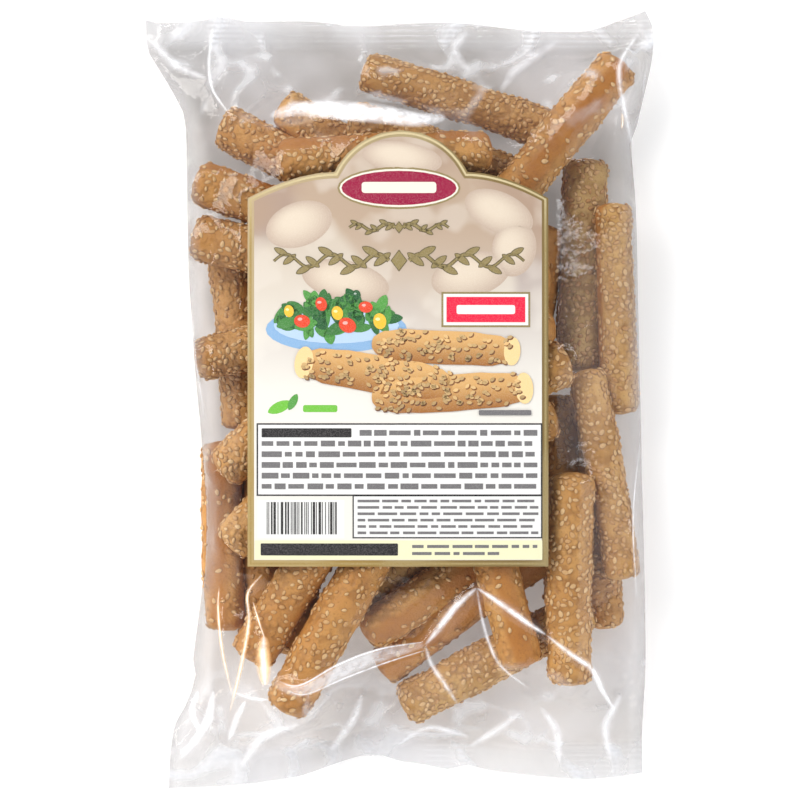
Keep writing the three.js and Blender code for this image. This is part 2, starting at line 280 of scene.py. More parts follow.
BARS_BOX = (259, 499, 345, 537)
FOOT_BOX = (256, 539, 541, 558)
FOOT_BAR = (262, 542, 398, 554)
UPRIGHT_BARS = (268, 501, 336, 533)

# Lines of short bars: left, right, height in the picture, thickness, and how many bars are heavy
BOX_LINES = [(263 if row else 360, 536, 432.5 + 10.6 * row, 4.6, 0.4) for row in range(6)]
BOX_LINES += [(358, 537, 500 + 6.3 * row, 2.6, 0) for row in range(6)]
FOOT_LINES = [(412, 536, 545, 3, 0), (412, 500, 552, 3, 0)]


def to_x(px):
    return (px - MIDDLE_X) * PIXEL


def to_y(py):
    return (MIDDLE_Y - py) * PIXEL


def to_picture(x, y):
    return x / PIXEL + MIDDLE_X, MIDDLE_Y - y / PIXEL


def clamp(value):
    return min(1, max(0, value))


def blend(below, above, share):
    """A colour between two others."""
    return tuple(a * (1 - share) + b * share for a, b in zip(below, above))


def smoothstep(value, low, high):
    share = np.clip((value - low) / (high - low), 0, 1)
    return share * share * (3 - 2 * share)


# The bag's shape

def side_x(points, y):
    ys = [to_y(py) for _, py in points]
    xs = [to_x(px) for px, _ in points]
    return np.interp(y, ys, xs)


def dome_height(x, y):
    return PILE_TOP - SIDE_FALL * (x / HALF_WIDTH) ** 2 - END_FALL * (y / HALF_LENGTH) ** 2


def seal_height(x, y):
    top = 6 + 1.6 * np.sin(x / 17 + 1) + 0.9 * np.sin(x / 7.3)
    bottom = 4.5 + 1.4 * np.sin(x / 21) + 0.8 * np.sin(x / 9 + 2)
    return np.where(y > 0, top, bottom)


def inset(x, y):
    """How far a place is inside the side fold and inside the seal line."""
    side = np.minimum(x - side_x(EDGE_LEFT, y), side_x(EDGE_RIGHT, y) - x)
    end = np.minimum(to_y(SEAL_LINE_TOP) - y, y - to_y(SEAL_LINE_BOTTOM))
    return side, end


def underside_height(x, y, fold):
    side, end = inset(x, y)
    around = 1 - np.clip(side / SIDE_ROUND, 0, 1)
    at_side = fold * (1 - np.sqrt(1 - around ** 2))
    at_end = seal_height(x, y) * (1 - smoothstep(end, 0, END_ROUND))
    return np.maximum(at_side, at_end)


def room(x, y, r):
    """Lowest and highest that a breadstick's middle line may lie at a place."""
    side, _ = inset(x, y)
    low = r + 1 + max(0, SIDE_FOLD - side) + float(underside_height(x, y, 0))
    high = min(dome_height(x, y) - r - SEED_ROOM, low + 3 + max(0, 1.2 * side))
    return low, high


# The pile

def nearest(p, q, a, b):
    """Nearest points of two breadsticks' middle lines, as shares of their lengths."""
    along = q - p
    across = b - a
    start = p - a
    aa = along.dot(along)
    ab = along.dot(across)
    ac = along.dot(start)
    bb = across.dot(across)
    bc = across.dot(start)
    spread = aa * bb - ab * ab
    s = clamp((ab * bc - ac * bb) / spread) if spread > 1e-6 else 0.5
    t = (ab * s + bc) / bb
    if t < 0:
        return clamp(-ac / aa), 0
    if t > 1:
        return clamp((ab - ac) / aa), 1
    return s, t


def part(one, two):
    """Pushes two breadsticks apart where they cut into each other, the first one upwards."""
    s, t = nearest(one["p"], one["q"], two["p"], two["q"])
    gap = one["p"].lerp(one["q"], s) - two["p"].lerp(two["q"], t)
    distance = gap.length
    reach = one["r"] + two["r"]
    if distance >= reach or distance < 1e-6:
        return
    gap *= (reach - distance) / distance / 2
    gap.x *= 0.6
    gap.y *= 0.6
    gap.z = abs(gap.z)
    share_one = (1 - s) ** 2 + s ** 2
    share_two = (1 - t) ** 2 + t ** 2
    one["p"] += gap * ((1 - s) / share_one)
    one["q"] += gap * (s / share_one)
    two["p"] -= gap * ((1 - t) / share_two)
    two["q"] -= gap * (t / share_two)


def settle():
    """The breadsticks as rounded rods, one laid on another in order, then settled in the bag."""
    rods = []
    rows = STICKS_UNDER + STICKS_SHOWN
    for order, (ax, ay, bx, by, thick, bare, olive, seeds) in enumerate(rows):
        z = 10 + 24 * order / (len(rows) - 1)
        a = Vector((to_x(ax), to_y(ay), z))
        b = Vector((to_x(bx), to_y(by), z))
        r = thick * PIXEL / 2 * STICK_CORE
        along = (b - a).normalized() * r * BLUNTNESS
        a += along
        b -= along
        under = order < len(STICKS_UNDER)
        rods.append({
            "p": a, "q": b, "r": r, "home": (a.copy(), b.copy()), "length": (b - a).length,
            "hold": HOLD_UNDER if under else HOLD_SHOWN, "under": under,
            "bare": radians(bare), "olive": olive, "seeds": seeds,
        })
    for _ in range(SETTLE_ROUNDS):
        for rod in rods:
            for end, home in ((rod["p"], rod["home"][0]), (rod["q"], rod["home"][1])):
                end.x += (home.x - end.x) * rod["hold"]
                end.y += (home.y - end.y) * rod["hold"]
                end.z -= SINK
        for i, one in enumerate(rods):
            for two in rods[:i]:
                part(one, two)
        for rod in rods:
            along = rod["q"] - rod["p"]
            stretch = (rod["length"] / along.length - 1) / 2
            rod["q"] += along * stretch
            rod["p"] -= along * stretch
            for end in (rod["p"], rod["q"]):
                low, high = room(end.x, end.y, rod["r"])
                end.z = min(max(end.z, low), high)
    return rods


def pile_height(x, y, rods):
    """The pile's surface under a grid of places, or -1 beside the breadsticks."""
    top = np.full(x.shape, -1.0)
    for rod in rods:
        p, q = rod["p"], rod["q"]
        dx, dy = q.x - p.x, q.y - p.y
        share = np.clip(((x - p.x) * dx + (y - p.y) * dy) / (dx * dx + dy * dy), 0, 1)
        off = (x - p.x - share * dx) ** 2 + (y - p.y - share * dy) ** 2
        reach = rod["r"] + FILM_ROOM
        height = p.z + (q.z - p.z) * share + np.sqrt(np.clip(reach ** 2 - off, 0, None))
        top = np.where(off < reach ** 2, np.maximum(top, height), top)
    return top


def fold_height(x, y, rods):
    """The side fold runs at the height of the breadsticks that press on it."""
    weight = np.full(x.shape, 0.4)
    total = weight * SIDE_FOLD
    for rod in rods:
        for share in (0, 0.25, 0.5, 0.75, 1):
            near = rod["p"].lerp(rod["q"], share)
            pull = np.clip(1 - np.hypot(x - near.x, y - near.y) / FOLD_REACH, 0, None)
            weight = weight + pull
            total = total + pull * near.z
    _, end = inset(x, y)
    inner = smoothstep(end, 0, FOLD_BLEND)
    return seal_height(x, y) * (1 - inner) + total / weight * inner


def curve(points):
    """A smooth curve through picture points: its fine places and how far along each one is."""
    spots = np.array([(to_x(px), to_y(py)) for px, py in points])
    padded = np.vstack([2 * spots[0] - spots[1], spots, 2 * spots[-1] - spots[-2]])
    t = np.linspace(0, 1, 12, endpoint=False)[:, None]
    fine = []
    for k in range(len(spots) - 1):
        a, b, c, d = padded[k:k + 4]
        fine.append(0.5 * (2 * b + (c - a) * t + (2 * a - 5 * b + 4 * c - d) * t ** 2
                           + (3 * b - a - 3 * c + d) * t ** 3))
    fine = np.vstack(fine + [spots[-1:]])
    lengths = np.concatenate([[0], np.cumsum(np.hypot(*np.diff(fine, axis=0).T))])
    return fine, lengths / lengths[-1]


def along_curve(line, shares):
    fine, at = line
    return np.stack([np.interp(shares, at, fine[:, 0]), np.interp(shares, at, fine[:, 1])], axis=-1)


def bag_plan(columns, rows):
    """The places of a grid between the bag's four edges. Columns lie closer at the folds."""
    even = np.linspace(0, 1, columns + 1)
    u = even - 0.06 * np.sin(2 * pi * even)
    v = np.linspace(0, 1, rows + 1)
    bottom = along_curve(curve(EDGE_BOTTOM), u)[:, None, :]
    top = along_curve(curve(EDGE_TOP), u)[:, None, :]
    left = along_curve(curve(EDGE_LEFT), v)[None, :, :]
    right = along_curve(curve(EDGE_RIGHT), v)[None, :, :]
    uu = u[:, None, None]
    vv = v[None, :, None]
    flat = bottom * (1 - vv) + top * vv + left * (1 - uu) + right * uu
    flat = flat - bottom[0] * (1 - uu) * (1 - vv) - bottom[-1] * uu * (1 - vv)
    flat = flat - top[0] * (1 - uu) * vv - top[-1] * uu * vv
    return flat[..., 0], flat[..., 1]


def label_top(px):
    """Height of the label's upper edge in the picture, across its width."""
    px = np.asarray(px, float)
    off = px - ARCH_X
    arch = ARCH_Y - np.sqrt(np.clip(ARCH_RADIUS ** 2 - off ** 2, 0, None))
    left = (px - LABEL_LEFT) / (ARCH_X - ARCH_HALF - LABEL_LEFT)
    right = (LABEL_RIGHT - px) / (LABEL_RIGHT - ARCH_X - ARCH_HALF)
    share = np.clip(np.where(off < 0, left, right), 0, 1)
    shoulder = LABEL_NECK + (LABEL_SHOULDER - LABEL_NECK) * (1 - share) ** 1.8
    return np.where(np.abs(off) < ARCH_HALF, arch, shoulder)


def under_label(x, y, margin):
    px, py = to_picture(x, y)
    inside = (px > LABEL_LEFT - margin) & (px < LABEL_RIGHT + margin) & (py < LABEL_FOOT + margin)
    return inside & (py > label_top(np.clip(px, LABEL_LEFT, LABEL_RIGHT)) - margin)


def line_distance(x, y, points):
    """Distance from each place to a line through picture points, and the share along it."""
    best = np.full(x.shape, 1e9)
    share = np.zeros(x.shape)
    spots = [(to_x(px), to_y(py)) for px, py in points]
    for k in range(len(spots) - 1):
        (ax, ay), (bx, by) = spots[k], spots[k + 1]
        dx, dy = bx - ax, by - ay
        t = np.clip(((x - ax) * dx + (y - ay) * dy) / (dx * dx + dy * dy), 0, 1)
        off = np.hypot(x - ax - t * dx, y - ay - t * dy)
        share = np.where(off < best, (k + t) / (len(spots) - 1), share)
        best = np.minimum(best, off)
    return best, share


def folds_near(x, y):
    """For each fold its rise, how near each place is to it, and a fade towards its ends."""
    for line, height, width, *_ in FOLDS:
        off, share = line_distance(x, y, line)
        yield height, np.clip(1 - off / width, 0, 1), np.sin(pi * np.clip(share, 0.05, 0.95))


def drape(rods):
    """The upper and the lower film as grids of places and heights."""
    x, y = bag_plan(COLUMNS, ROWS)
    ii, jj = np.indices(x.shape)
    seal = (jj < SEAL_ROWS) | (jj > ROWS - SEAL_ROWS)
    rim = (ii == 0) | (ii == COLUMNS)
    fold = fold_height(x, y, rods)
    at_seal = seal_height(x, y)
    lower = np.where(seal, at_seal - 0.1, np.where(rim, fold, underside_height(x, y, fold)))
    side, end = inset(x, y)
    least = lower + 0.3 + np.clip(np.minimum(side, end) / 8, 0, 3)
    least = np.maximum(least, pile_height(x, y, rods))
    label = under_label(x, y, LABEL_MARGIN)
    upper = np.where(label, dome_height(x, y), np.maximum(least, SIDE_FOLD))
    upper = np.where(seal, at_seal + 0.1, np.where(rim, fold, upper))
    free = ~(seal | rim | label)
    halves = [((ii + jj) % 2 == k) & free for k in (0, 1)]
    for _ in range(DRAPE_ROUNDS):
        for pick in halves:
            taut = sum(np.roll(upper, step, axis) for axis in (0, 1) for step in (1, -1)) / 4
            moved = np.maximum(least, upper + PULL * (taut - upper))
            upper = np.where(pick, moved, upper)
    for height, near, fade in folds_near(x, y):
        upper = np.where(label | rim, upper, upper + height * near ** 1.3 * fade ** 0.5)
    return x, y, upper, lower


# Meshes

def put(name, data):
    obj = bpy.data.objects.new(name, data)
    bpy.context.scene.collection.objects.link(obj)
    return obj


def make(name, verts, faces, material, values=None):
    """A piece of the scene. One that is given values at its points is shaded smooth."""
    mesh = bpy.data.meshes.new(name)
    mesh.from_pydata(verts, [], faces)
    mesh.update()
    if values:
        mesh.shade_smooth()
        for key, numbers in values.items():
            layer = mesh.attributes.new(key, "FLOAT", "POINT")
            layer.data.foreach_set("value", np.asarray(numbers, np.float32).ravel())
    mesh.materials.append(material)
    obj = put(name, mesh)
    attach(obj, "root")
    return obj


def grid_faces(columns, rows, start=0, flip=False):
    step = rows + 1
    corners = [start + i * step + j for i in range(columns) for j in range(rows)]
    if flip:
        return [(a, a + 1, a + step + 1, a + step) for a in corners]
    return [(a, a + step, a + step + 1, a + 1) for a in corners]


# Breadsticks

def stick_frame(rod):
    """The breadstick's length axis, and the sideways and upward axes across it."""
    along = (rod["q"] - rod["p"]).normalized()
    side = along.cross(Vector((0, 0, 1))).normalized()
    up = side.cross(along)
    return along, side, up


def stick_point(rod, number, share, angle):
    """A point of the crust: share runs along the breadstick, angle round it from the top."""
    along, side, up = rod["axes"]
    half = (rod["length"] + 2 * BLUNTNESS * rod["r"]) / 2
    reach = share * half
    middle = (rod["p"] + rod["q"]) / 2
    rounding = TIP_ROUND * rod["r"]
    inward = 1 - min(1, max(0.0, half - abs(reach)) / rounding)
    crown = (1 - inward ** TIP_POWER) ** (1 / TIP_POWER)
    swell = 1 + SWELL * noise.noise(Vector((number * 7.3, number * 3.1, share * 2.3)))
    turn = Vector((cos(angle), sin(angle), share * 3.2 + number * 5.7))
    lumps = LUMPS * noise.noise(turn * 1.1) + FINE_LUMPS * noise.noise(turn * 3.1)
    flat = TRAY_FLAT * exp(-((angle_gap(angle, rod["bare"]) / 0.5) ** 2))
    radius = rod["r"] * crown * (swell + lumps - flat)
    bow = 1 - share * share
    offset = side * (sin(angle) * radius + rod["bend"][0] * bow)
    offset += up * (cos(angle) * radius + rod["bend"][1] * bow)
    return middle + along * reach + offset


def angle_gap(a, b):
    return (a - b + pi) % (2 * pi) - pi


def stick_mesh(rods, material):
    verts, faces = [], []
    values = {"bare": [], "olive": [], "tone": []}
    for number, rod in enumerate(rods):
        start = len(verts)
        for ring in range(STICK_RINGS + 1):
            even = ring / STICK_RINGS * 2 - 1
            share = sin(even * pi / 2) * 0.45 + even * 0.5485
            for k in range(STICK_SIDES):
                angle = 2 * pi * k / STICK_SIDES
                verts.append(stick_point(rod, number, share, angle) * MM)
                near = angle_gap(angle, rod["bare"]) / 0.62
                ragged = 0.25 * noise.noise(Vector((share * 6 + number * 9.1, sin(angle) * 2, number)))
                values["bare"].append(clamp(exp(-near * near) + ragged))
                values["olive"].append(rod["olive"])
                values["tone"].append(rod["tone"])
        for ring in range(STICK_RINGS):
            for k in range(STICK_SIDES):
                a = start + ring * STICK_SIDES + k
                b = start + ring * STICK_SIDES + (k + 1) % STICK_SIDES
                faces.append((a, b, b + STICK_SIDES, a + STICK_SIDES))
        faces.append(tuple(start + k for k in reversed(range(STICK_SIDES))))
        last = start + STICK_RINGS * STICK_SIDES
        faces.append(tuple(last + k for k in range(STICK_SIDES)))
    return make("breadsticks", verts, faces, material, values)


def seed_mesh(rods, material, rng):
    verts, faces, shade, tint = [], [], [], []
    for number, rod in enumerate(rods):
        wanted = int(SEEDS_A_STICK * rod["seeds"] * (0.3 if rod["under"] else 1))
        placed = []
        for _ in range(wanted * 7):
            if len(placed) >= wanted:
                break
            share = rng.uniform(-0.985, 0.985)
            angle = rng.uniform(-pi, pi)
            gap = angle_gap(angle, rod["bare"])
            if rng.random() < 0.93 * exp(-(gap / 0.55) ** 2):
                continue
            if abs(angle) > 2.1 and rng.random() < 0.7:
                continue
            around = (sin(angle) * 2.2, cos(angle) * 2.2)
            cluster = noise.noise(Vector((share * 5.5 + number * 4.7, *around)))
            if rng.random() > 0.62 + 1.5 * cluster:
                continue
            spot = stick_point(rod, number, share, angle)
            if any((spot - other).length_squared < SEED_GAP ** 2 for other in placed):
                continue
            placed.append(spot)
            ahead = stick_point(rod, number, min(0.999, share + 0.01), angle) - spot
            across = stick_point(rod, number, share, angle + 0.08) - spot
            normal = across.cross(ahead).normalized()
            long_axis = Matrix.Rotation(rng.uniform(0, 2 * pi), 3, normal) @ ahead.normalized()
            wide_axis = normal.cross(long_axis)
            normal += long_axis * rng.uniform(-0.18, 0.18) + wide_axis * rng.uniform(-0.15, 0.15)
            length = rng.uniform(*SEED_HALF_LENGTH)
            width = length * rng.uniform(*SEED_SLIMNESS)
            height = rng.uniform(*SEED_HEIGHT)
            start = len(verts)
            # The outer ring gets shade 0, painted dark brown as painted shade where the seed sits in the
            # crust
            for scale, lift, light in SEED_RINGS:
                for u, v in SEED_OUTLINE:
                    place = spot + long_axis * (u * length * scale) + wide_axis * (v * width * scale)
                    verts.append((place + normal * (height * lift)) * MM)
                shade += [light] * len(SEED_OUTLINE)
            verts.append((spot + normal * height) * MM)
            shade.append(1.0)
            tint += [rng.random()] * (len(verts) - start)
            sides = len(SEED_OUTLINE)
            for k in range(sides):
                a, b = start + k, start + (k + 1) % sides
                faces.append((a, b, b + sides, a + sides))
                faces.append((a + sides, b + sides, start + 2 * sides))
    return make("sesame_seeds", verts, faces, material, {"shade": shade, "tint": tint})


# Film

def crease_mesh(x, y, upper, material):
    """Thin ridges along the folds, laid on the upper film, painted white and warm as painted highlights and
    glints.
    """
    grid = np.stack([x.ravel(), y.ravel()], axis=-1)
    heights = upper.ravel()
    verts, faces, haze_and_sheen, glint_warmth = [], [], [], []
    for line, _, _, wide, core, flank, warm in FOLDS:
        route = curve(line)
        shares = np.linspace(0, 1, CREASE_STEPS + 1)
        spots = along_curve(route, shares)
        ahead = np.gradient(spots, axis=0)
        ahead /= np.linalg.norm(ahead, axis=1)[:, None]
        start = len(verts)
        for share, spot, way in zip(shares, spots, ahead):
            taper = sin(pi * share) ** 0.45
            half = wide * PIXEL / 2 * (0.15 + 0.85 * taper)
            for across, rise, white in CREASE_PROFILE:
                px, py = spot[0] - way[1] * across * half, spot[1] + way[0] * across * half
                squared = np.sum((grid - (px, py)) ** 2, axis=1)
                near = np.argpartition(squared, 4)[:4]
                weight = 1 / (squared[near] + 0.01)
                z = float(np.sum(heights[near] * weight) / np.sum(weight))
                verts.append((px * MM, py * MM, (z + 0.2 + 0.5 * rise * taper) * MM))
                # How white each point is painted as the crease's painted highlight, and how warm its
                # painted glint is
                haze_and_sheen.append((core if white == 1 else flank * white) * taper)
                glint_warmth.append(warm * (0.15 if white == 1 else 1))
        faces += grid_faces(CREASE_STEPS, len(CREASE_PROFILE) - 1, start)
    return make("crease_highlights", verts, faces, material, {"haze_and_sheen": haze_and_sheen, "glint_warmth": glint_warmth})


def sheet(name, x, y, z, material, values, flip=False):
    """A film from a grid of places."""
    verts = (np.stack([x, y, z], axis=-1).reshape(-1, 3) * MM).tolist()
    return make(name, verts, grid_faces(x.shape[0] - 1, x.shape[1] - 1, flip=flip), material, values)


def film_pieces(rods, front_material, back_material, crease_material):
    x, y, upper, lower = drape(rods)
    side, end = inset(x, y)
    # White haze along the sides, the seals and the folds: partly the film's own cloudiness, partly a
    # painted sheen where the film catches the light
    haze = EDGE_HAZE * (np.clip(1 - side / 6, 0, 1) + smoothstep(-end, -3, 2))
    for height, near, fade in folds_near(x, y):
        haze = haze + FOLD_HAZE * height * near * fade
    haze = np.clip(haze, *HAZE_RANGE)
    loose = np.clip(1 - end / LOOSE_LENGTH, 0, 1)
    # Along the sides the film's clear colour is painted darker, as painted shade
    edge = np.clip(1 - side / EDGE_WIDTH, 0, 1)
    px, py = to_picture(x, y)
    crimp = np.zeros(x.shape)
    for left, top, right, foot in CRIMPS:
        crimp[(px > left) & (py > top) & (px < right) & (py < foot)] = 1
    values = {"haze": haze, "loose": loose, "crimp": crimp, "edge": edge}
    top = sheet("film_front", x, y, upper, front_material, values)
    coarse = {key: value[::BACK_STEP, ::BACK_STEP] for key, value in values.items()}
    coarse["haze"] = coarse["haze"] * 0.8 + 0.02
    coarse["crimp"] = coarse["crimp"] * 0
    places = [value[::BACK_STEP, ::BACK_STEP] for value in (x, y, lower)]
    back = sheet("film_back", *places, back_material, coarse, flip=True)
    return top, back, crease_mesh(x, y, upper, crease_material)


# Label print: flat coloured shapes laid on the label, one above another

def turned(cx, cy, turn, spots):
    """Places about a middle, turned by an angle in degrees."""
    along, across = cos(radians(turn)), sin(radians(turn))
    return [(cx + u * along - v * across, cy + u * across + v * along) for u, v in spots]


def ellipse(cx, cy, rx, ry, turn=0, count=28):
    angles = [2 * pi * k / count for k in range(count)]
    return turned(cx, cy, turn, [(rx * cos(a), ry * sin(a)) for a in angles])


def rectangle(x0, y0, x1, y1, corner=0):
    if not corner:
        return [(x0, y0), (x1, y0), (x1, y1), (x0, y1)]
    spots = []
    for cx, cy, start in ((x1 - corner, y0 + corner, -90), (x1 - corner, y1 - corner, 0),
                          (x0 + corner, y1 - corner, 90), (x0 + corner, y0 + corner, 180)):
        for k in range(5):
            a = radians(start + 22.5 * k)
            spots.append((cx + corner * cos(a), cy + corner * sin(a)))
    return spots


def drawn_in(box, step):
    x0, y0, x1, y1 = box
    return x0 + step, y0 + step, x1 - step, y1 - step


def leaf(cx, cy, length, width, turn):
    waves = [(cos(k * pi / 8), sin(k * pi / 8)) for k in range(16)]
    return turned(cx, cy, turn, [(length / 2 * c, width / 2 * s * abs(s) ** 0.4) for c, s in waves])


def inner_outline(step):
    """The label's outline drawn in by a step, in picture pixels."""
    radius = ARCH_RADIUS - step
    spots = [(LABEL_LEFT + step, LABEL_FOOT - step)]
    for px in np.linspace(LABEL_LEFT + step, LABEL_RIGHT - step, 90):
        off = px - ARCH_X
        beside = copysign(max(abs(off), ARCH_HALF + 0.01), off)
        shoulder = float(label_top(ARCH_X + beside)) + step
        arch = ARCH_Y - sqrt(radius ** 2 - off ** 2) if abs(off) < radius else 1e9
        spots.append((float(px), min(shoulder, arch)))
    spots.append((LABEL_RIGHT - step, LABEL_FOOT - step))
    return spots


def print_piece(name, shapes, material):
    """One piece of print: each shape is an outline, a colour (or a rule for it) and a level."""
    verts, faces, inks = [], [], []
    for outline, colour, level in shapes:
        shape = bmesh.new()
        face = shape.faces.new([shape.verts.new((to_x(px), to_y(py), 0)) for px, py in outline])
        face.normal_update()
        if face.normal.z < 0:
            face.normal_flip()
        bmesh.ops.triangulate(shape, faces=[face])
        for axis, normal in enumerate((Vector((1, 0, 0)), Vector((0, 1, 0)))):
            reach = [v.co[axis] / PRINT_CELL for v in shape.verts]
            for cut in range(floor(min(reach)) + 1, ceil(max(reach))):
                whole = shape.verts[:] + shape.edges[:] + shape.faces[:]
                place = normal * cut * PRINT_CELL
                bmesh.ops.bisect_plane(shape, geom=whole, plane_co=place, plane_no=normal)
        start = len(verts)
        shape.verts.index_update()
        for v in shape.verts:
            x, y = v.co.x, v.co.y
            z = dome_height(x, y) + LABEL_TOP_FACE + PRINT_STEP * level
            verts.append((x * MM, y * MM, z * MM))
            inks += [*(colour(*to_picture(x, y)) if callable(colour) else colour), 1]
        faces += [[start + v.index for v in face.verts] for face in shape.faces]
        shape.free()
    obj = make(name, verts, faces, material)
    obj.data.attributes.new("ink", "FLOAT_COLOR", "POINT").data.foreach_set("color", inks)


def stroke(spots, half_widths):
    """The outline of a line with changing width."""
    spots = np.asarray(spots, float)
    way = np.gradient(spots, axis=0)
    way /= np.linalg.norm(way, axis=1)[:, None]
    across = np.stack([-way[:, 1], way[:, 0]], axis=-1) * np.asarray(half_widths)[:, None]
    return [tuple(p) for p in np.vstack([spots + across, (spots - across)[::-1]])]


def vine(cx, cy, half, swing, turns):
    """A waving stem with leaves on both sides, drawn in dark and again a little finer in gold."""
    shapes = []
    for grow, colour, level in ((0.9, SCROLL_EDGE, 3), (0.0, OLIVE_GOLD, 4)):
        for side in (-1, 1):
            for turn in range(turns):
                t = np.linspace(turn, turn + 1.02, 13)
                xs = cx + side * half * (0.08 + 0.9 * t / turns)
                thick = 1.4 * (1 - 0.6 * t / turns) + grow
                wave = np.stack([xs, cy - swing * np.sin(pi * t)], axis=-1)
                shapes.append((stroke(wave, thick), colour, level))
                middle = turn + 0.5
                x = cx + side * half * (0.08 + 0.9 * middle / turns)
                up = 1 if turn % 2 else -1
                size = swing * 3.0 * (1 - 0.3 * turn / turns)
                for step, place, angle in ((0.3, 1.35, 28), (-0.25, 0.2, -38)):
                    spot = (x + side * step * size, cy + up * place * swing)
                    outline = leaf(*spot, size + 2 * grow, size * 0.34 + 2 * grow, side * up * angle)
                    shapes.append((outline, colour, level))
        size = swing * 1.15 + grow
        diamond = [(cx - size, cy), (cx, cy - size * 1.3), (cx + size, cy), (cx, cy + size * 1.3)]
        shapes.append((diamond, colour, level + 1))
    return shapes


def border_shine():
    """A bright line in the middle of the gold border, warmest on the left."""
    outer, inner = inner_outline(SHINE_OUT), inner_outline(SHINE_IN)

    def glow(px, py):
        share = clamp((px - LABEL_LEFT) / (LABEL_RIGHT - LABEL_LEFT))
        return blend(blend(SHINE_LEFT, SHINE_RIGHT, share), SHINE_TOP, clamp((SHINE_FOOT - py) / 60) * 0.7)

    count = len(outer)
    ends = [(k, (k + 1) % count) for k in range(count)]
    return [([outer[k], outer[after], inner[after], inner[k]], glow, 1) for k, after in ends]


def frame_bars(x0, y0, x1, y1, width):
    """A thin black frame, as four bars."""
    bars = (
        (x0, y0, x1, y0 + width), (x0, y1 - width, x1, y1),
        (x0, y0 + width, x0 + width, y1 - width), (x1 - width, y0 + width, x1, y1 - width),
    )
    return [(rectangle(*bar), BLACK_INK, 3) for bar in bars]


def short_bars(x0, x1, y, height, heavy, rng):
    """A line of grey bars of uneven length."""
    shapes = []
    x = x0
    while x < x1 - 4:
        wide = min(rng.uniform(6, 22), x1 - x)
        tall = height * (1.25 if rng.random() < heavy else 1)
        shapes.append((rectangle(x, y - tall / 2, x + wide, y + tall / 2), GREY_INK, 3))
        x += wide + rng.uniform(2.4, 3.6)
    return shapes


def pictured_stick(ax, ay, bx, by, thick, level, rng):
    """A printed breadstick: a shaded rod with a pale cut end and seeds."""
    length = hypot(bx - ax, by - ay)
    ux, uy = (bx - ax) / length, (by - ay) / length
    vx, vy = (-uy, ux) if ux >= 0 else (uy, -ux)
    middle_x, middle_y = (ax + bx) / 2, (ay + by) / 2
    half = thick / 2
    lean = degrees(atan2(uy, ux))

    def spot(u, v):
        return middle_x + ux * u + vx * v, middle_y + uy * u + vy * v

    def shade(px, py):
        v = ((px - middle_x) * vx + (py - middle_y) * vy) / half
        return blend(STICK_LIT, STICK_DARK, clamp((v + 0.5) / 1.4))

    rod = []
    for k in range(40):
        t = 2 * pi * k / 40
        u = copysign(abs(cos(t)) ** 0.5, cos(t)) * length / 2
        v = copysign(abs(sin(t)) ** 0.8, sin(t)) * half
        rod.append(spot(u, v + 0.6 * sin(k * 2.1)))
    shapes = [(rod, shade, level)]
    for _ in range(int(length * 0.62)):
        u = rng.uniform(-0.47, 0.47) * length
        v = rng.uniform(-0.9, 0.8)
        cx, cy = spot(u, v * half)
        tone = rng.uniform(0.6, 1.0) * (1 - 0.35 * max(0, v))
        turn = lean + rng.uniform(-50, 50)
        dark_edge = (0.26 * tone, 0.10 * tone, 0.025)
        shapes.append((leaf(cx + 0.8, cy + 0.9, 6.4, 4.2, turn), dark_edge, level + 1))
        pale = (0.76 * tone, 0.50 * tone, 0.22 * tone)
        shapes.append((leaf(cx, cy, 5.6, 3.4, turn), pale, level + 2))
    end = ellipse(ax + ux * 5, ay + uy * 5, half * 0.5, half * 0.86, lean, 20)
    shapes.append((end, STICK_END, level + 1))
    return shapes


def roll(cx, cy, rx, ry, turn):
    """A faint round roll in the label's ground: a dark rim and a paler top."""
    shapes = []
    for k in range(14):
        colour = blend(ROLL_RIM, ROLL, sin(k / 13 * pi / 2))
        scale = 1 - 0.062 * k
        outline = ellipse(cx - 0.5 * k, cy - 0.35 * k, rx * scale, ry * scale, turn, 36)
        shapes.append((outline, colour, 1.5 + 0.1 * k))
    return shapes


def label_picture(rng):
    """Rolls in the ground, a plate of salad and three breadsticks."""
    shapes = []
    for row in ROLLS:
        shapes += roll(*row)
    x, y = PLATE
    shapes.append((ellipse(x, y, 70, 23), PLATE_BLUE, 2))
    shapes.append((ellipse(x, y - 4, 62, 18), PLATE_PALE, 3))
    for _ in range(LEAVES):
        a, reach = rng.uniform(0, 2 * pi), sqrt(rng.random())
        cx, cy = x + 56 * reach * cos(a), y - 13 + 20 * reach * sin(a) - 8 * (1 - reach)
        green = blend(LEAF_DARK, LEAF_LIGHT, rng.random())
        outline = leaf(cx, cy, rng.uniform(14, 26), rng.uniform(7, 12), rng.uniform(0, 360))
        shapes.append((outline, green, 4 + rng.randrange(3)))
    for cx, cy, size, colour in VEGETABLES:
        shapes.append((ellipse(cx, cy, size, size * 0.8, rng.uniform(0, 90), 18), colour, 8))
        glint = ellipse(cx - size * 0.25, cy - size * 0.25, size * 0.3, size * 0.2, 0, 10)
        shapes.append((glint, tuple(min(1, c + 0.35) for c in colour), 9))
    for row in PRINTED_STICKS:
        shapes += pictured_stick(*row, 10, rng)
    return shapes


